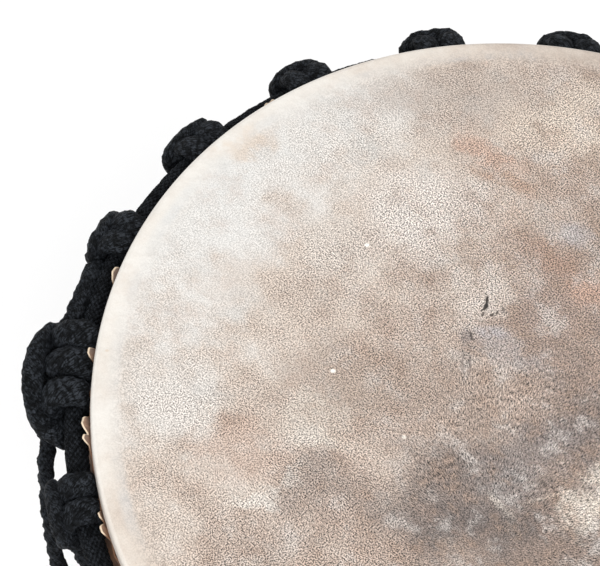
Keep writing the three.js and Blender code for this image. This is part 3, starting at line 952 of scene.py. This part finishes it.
def loop_rows(azimuth, ring_r, bar_r, ring_z, bar_z, reach):
    """The loop between two knots, seen from its first leg to its second."""
    drop = bar_z - ring_z
    half = ((0.93, 0.4), (0.62, 0.72), (0.3, 0.95))
    rows = []
    for along, share in [(-a, b) for a, b in half] + [(0, 1.0)] + list(half[::-1]):
        radius = ring_r + LOOP_STANDOFF + (bar_r - ring_r - LOOP_STANDOFF) * smooth(share, 0.2, 1.0)
        rows.append(leg_place(azimuth, radius, ring_z + drop * share, along * reach))
    return rows


def cradle_rows(ring_r, ring_z, bar_r, bar_z, first, flip, scale, reach, seed, special=None):
    """Knots and loops in turn, right round a hoop; special makes the one knot that is tied off."""
    random = np.random.default_rng(seed)
    rows = []
    for number in range(KNOTS):
        azimuth = first + number * STEP
        uneven = [random.uniform(0.95, 1.05), random.uniform(0.95, 1.08), random.uniform(-0.35, 0.35)]
        if special:
            uneven[2] = KNOT_SHIFTS.get(number, uneven[2])
        if special and number == TIE_KNOT:
            rows += special(azimuth, ring_r, ring_z)
        else:
            rows += knot_rows(azimuth, ring_r, ring_z, flip, scale, uneven)
        rows += loop_rows(azimuth + STEP / 2, ring_r, bar_r, ring_z, bar_z, reach)
    return rows


# The bigger tie-off: the share of the lengths below that it takes up along the hoop, and its shift along
# it in millimetres
TIE_OFF_LENGTH = 0.95
TIE_OFF_SHIFT = 2.2
# Its stops, in the same terms as the knot's: three wraps side by side, the bow lying out across them, and
# the way on below them to the next loop
TIE_OFF = [
    (-35, -10.8, 6.0, 2.6, 2.2), (5, -10.4, 7.2, 3.7, 2.8), (45, -9.9, 6.3, 4.3, 2.5),
    (85, -9.5, 5.6, 4.4, 2.1), (125, -9.1, 4.8, 4.2, 1.4), (165, -8.5, 4.1, 3.8, 0.7),
    (205, -7.6, 4.1, 3.5, 0.6), (250, -6.0, 5.0, 2.8, 1.6), (300, -3.8, 5.8, 2.5, 2.1),
    (345, -1.8, 6.8, 3.3, 2.5), (385, -0.8, 7.0, 4.2, 2.8), (420, -0.5, 6.2, 4.5, 2.4),
    (455, -0.3, 5.4, 4.4, 2.0), (490, 0.1, 4.7, 4.2, 1.3), (525, 0.7, 4.1, 3.8, 0.7),
    (565, 1.8, 4.1, 3.4, 0.6), (610, 3.8, 5.0, 2.9, 1.6), (660, 7.0, 5.8, 4.0, 2.4),
    (705, 8.6, 6.9, 5.0, 2.8), (745, 9.0, 6.8, 4.9, 2.6), (780, 9.0, 6.0, 4.6, 2.2),
    (815, 9.2, 5.3, 4.2, 1.9), (850, 9.3, 4.6, 3.9, 1.3), (885, 10.6, 4.1, 3.7, 0.7),
    (925, 12.6, 4.1, 3.7, 0.7), (970, 14.3, 5.3, 4.3, 2.1), (1010, 15.4, 6.4, 4.8, 2.7),
    (1040, 16.0, 8.2, 3.7, 2.8), (1065, 14.0, 10.0, 3.2, 2.8), (1078, 9.4, 11.5, 3.0, 2.8),
    (1083, 3.2, 12.3, 3.1, 2.9), (1084, -3.2, 12.3, 3.1, 2.9), (1080, -9.2, 11.3, 3.0, 2.8),
    (1068, -13.6, 9.2, 2.7, 2.5), (1045, -15.4, 7.0, 2.4, 2.3), (1012, -15.0, 6.2, 2.2, 2.1),
    (986, -11.0, 7.2, 2.1, 2.1), (980, -4.0, 9.2, 2.1, 2.0), (984, 5.0, 9.4, 2.1, 2.0),
    (1000, 11.0, 9.6, 2.1, 2.0),
]
# One more strand runs along the hoop from the knot before, behind the bow, in the same terms from the
# tie-off's middle
BESIDE = [
    (-25, -35, 5.4, 2.1, 2.1), (-3, -30, 5.1, 2.3, 2.2), (8, -24, 4.9, 2.4, 2.2), (8, -18, 4.9, 2.7, 2.4),
    (6, -13.5, 5.2, 3.1, 2.6), (-12, -9.5, 8.0, 2.7, 2.5), (-22, -6, 9.4, 2.5, 2.3),
    (-28, -1, 9.8, 2.6, 2.4), (-28, 6, 9.8, 2.6, 2.4), (-24, 12, 9.6, 2.4, 2.3),
]
# Then it hangs: pixels of the photograph, with the height of each above the ground in millimetres
TAIL = [
    ((47, 440), 477), ((46, 468), 472), ((48, 502), 463),
    ((53, 538), 453), ((60, 572), 441), ((66, 600), 431),
]


def strand_rows(stops, size):
    """A strand traced through places of the photograph."""
    rows = []
    for pixel, z in stops:
        place = on_plane(pixel, z * MM)
        outward = np.array([place[0], place[1], 0]) / math.hypot(place[0], place[1])
        rows.append(np.concatenate([place, outward, [size, size]]))
    return rows


def tie_off_rows(azimuth, ring_r, ring_z):
    stops = [(d, t * TIE_OFF_LENGTH + TIE_OFF_SHIFT, q, w, h) for d, t, q, w, h in TIE_OFF]
    return [hoop_place(azimuth, ring_r, ring_z, 1, stop) for stop in stops]


def lacing_rows(crown_r, crown_z, bottom_r, bottom_z):
    """One cord from crown loop to bottom loop and back, hooked through each."""
    hold = CORD_RADIUS + LACING_RADIUS + LACING_CLEARANCE
    rows = []

    def hook(azimuth, radius, z, side):
        for degrees in (200, 150, 110, 70, 30, -20):
            turn = math.radians(degrees)
            r, h = radius + side * hold * math.cos(turn), z + side * hold * math.sin(turn)
            rows.append(leg_place(azimuth, r, h, HOOK_LEAN * math.cos(turn), LACING_RADIUS))

    def leg(start, end, shares):
        for share in shares:
            z = crown_z + (bottom_z - crown_z) * share
            out = bowl_radius(z) + LACING_RADIUS + LACING_LIFT
            rows.append(leg_place(start + (end - start) * share, out, z, 0.0, LACING_RADIUS))

    shares = (0.12, 0.3, 0.5, 0.7, 0.88)
    for number in range(KNOTS):
        crown = (number + 0.5) * STEP
        bottom = crown + STEP / 2
        hook(crown, crown_r, crown_z, 1)
        leg(crown, bottom, shares)
        hook(bottom, bottom_r, bottom_z, -1)
        leg(crown + STEP, bottom, shares[::-1])
    return rows


def make_hoops(material):
    """The braided sleeve on each hoop, finer on the one that the photograph shows."""
    azimuth = np.linspace(0, TURN, 361)[:-1]
    size = HOOP_RADIUS + SLEEVE_FIT + 0 * azimuth
    for name, radius, z, spacing in (
        ("crown_ring", CROWN_RING_R, CROWN_RING_Z, 0.5 * MM),
        ("bottom_ring", BOTTOM_RING_R, BOTTOM_RING_Z, 1.0 * MM),
    ):
        rows = np.column_stack([at(azimuth, radius, z), at(azimuth, 1, 0), size, size])
        sleeve = cord(name + "_sleeve", rows, True, spacing, 28, 0.4 * MM, SLEEVE_STRANDS, SLEEVE_PITCH,
                      material, 0.1 * MM)
        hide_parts(name)


def round_cord(name, rows, spacing, ring, relief, material, lump):
    """A closed cord of the drum's usual braid, smoothed through its rows."""
    line = catmull(rows, 6, True)
    return cord(name, line, True, spacing, ring, relief, CORD_STRANDS, CORD_PITCH, material, lump=lump)


def make_tie_off_strand(material):
    rows = [hoop_place(TIE_KNOT * STEP, CROWN_RING_R, CROWN_RING_Z, 1, stop) for stop in BESIDE]
    rows += strand_rows(TAIL, TAIL_RADIUS)
    cord("tie_off_strand", catmull(rows, 12, False), False, 0.7 * MM, 16, 0.3 * MM, CORD_STRANDS, CORD_PITCH,
         material, lump=0.4 * MM)


def make_cradles(material):
    """Both rows of knots and loops, the lacing between them, and the strand beside the tie-off."""
    crown_bar_r = CROWN_RING_R - CROWN_LOOP_LEAN
    crown_bar_z = CROWN_RING_Z - KNOT_REACH - CROWN_LOOP_DROP
    rows = cradle_rows(CROWN_RING_R, CROWN_RING_Z, crown_bar_r, crown_bar_z, 0.0, 1, 1.0, CROWN_LOOP_REACH,
                       21, tie_off_rows)
    crown = round_cord("crown_cradle", rows, 0.8 * MM, 16, 0.3 * MM, material, 0.26 * MM)
    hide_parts("crown_cradle_rope")
    bar_z = BOTTOM_RING_Z + KNOT_REACH + BOTTOM_LOOP_RISE
    bar_r = bowl_radius(bar_z) + BOTTOM_BAR_STANDOFF
    rows = cradle_rows(BOTTOM_RING_R, BOTTOM_RING_Z, bar_r, bar_z, STEP / 2, -1, BOTTOM_KNOT_SCALE,
                       BOTTOM_LOOP_REACH, 22)
    bottom = round_cord("bottom_cradle", rows, 1.0 * MM, 12, 0.25 * MM, material, 0.2 * MM)
    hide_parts("bottom_cradle_rope")
    rows = lacing_rows(crown_bar_r, crown_bar_z, bar_r, bar_z)
    lacing = round_cord("lacing", rows, 1.6 * MM, 12, 0.2 * MM, material, 0.12 * MM)
    make_tie_off_strand(material)
    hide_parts("lacing_rope")


FLOOR_SIZE = 12
SKY_STRENGTH = 0.64
LIGHT_AIM = (0, 0, 0.4)
# Name, place and size in metres, and power in watts
LIGHTS = [
    ("key_light", (-0.9, 1.0, 2.0), 1.6, 46),
    ("fill_light", (1.4, -0.6, 1.7), 1.8, 12),
]


def make_floor():
    s = Shading("pale_floor", 0.9)
    tone = s.noise(s.place, 3.0, 2.0)
    s.done(s.mix(tone, (0.95, 0.95, 0.95, 1), (0.97, 0.97, 0.97, 1)))
    bpy.ops.mesh.primitive_plane_add(size=FLOOR_SIZE)
    floor = bpy.context.object
    floor.name = "floor"
    floor.data.materials.append(s.material)


def make_lights():
    world = bpy.data.worlds.new("studio")
    world.use_nodes = True
    sky = world.node_tree.nodes["Background"]
    sky.inputs["Color"].default_value = (1.0, 1.0, 1.0, 1)
    sky.inputs["Strength"].default_value = SKY_STRENGTH
    bpy.context.scene.world = world
    for name, place, size, power in LIGHTS:
        data = bpy.data.lights.new(name, "AREA")
        data.size = size
        data.energy = power
        light = bpy.data.objects.new(name, data)
        light.location = place
        aim = Vector(LIGHT_AIM) - Vector(place)
        light.rotation_euler = aim.to_track_quat("-Z", "Y").to_euler()
        bpy.context.scene.collection.objects.link(light)


bpy.context.scene.view_settings.view_transform = "Standard"
make_shell(wood_material())
make_skin(skin_material())
make_hoops(cord_material("braided_sleeve", SLEEVE_STRANDS, 0.9))
make_cradles(cord_material("braided_cord", CORD_STRANDS, 0.4))
make_floor()
make_lights()
make_camera()
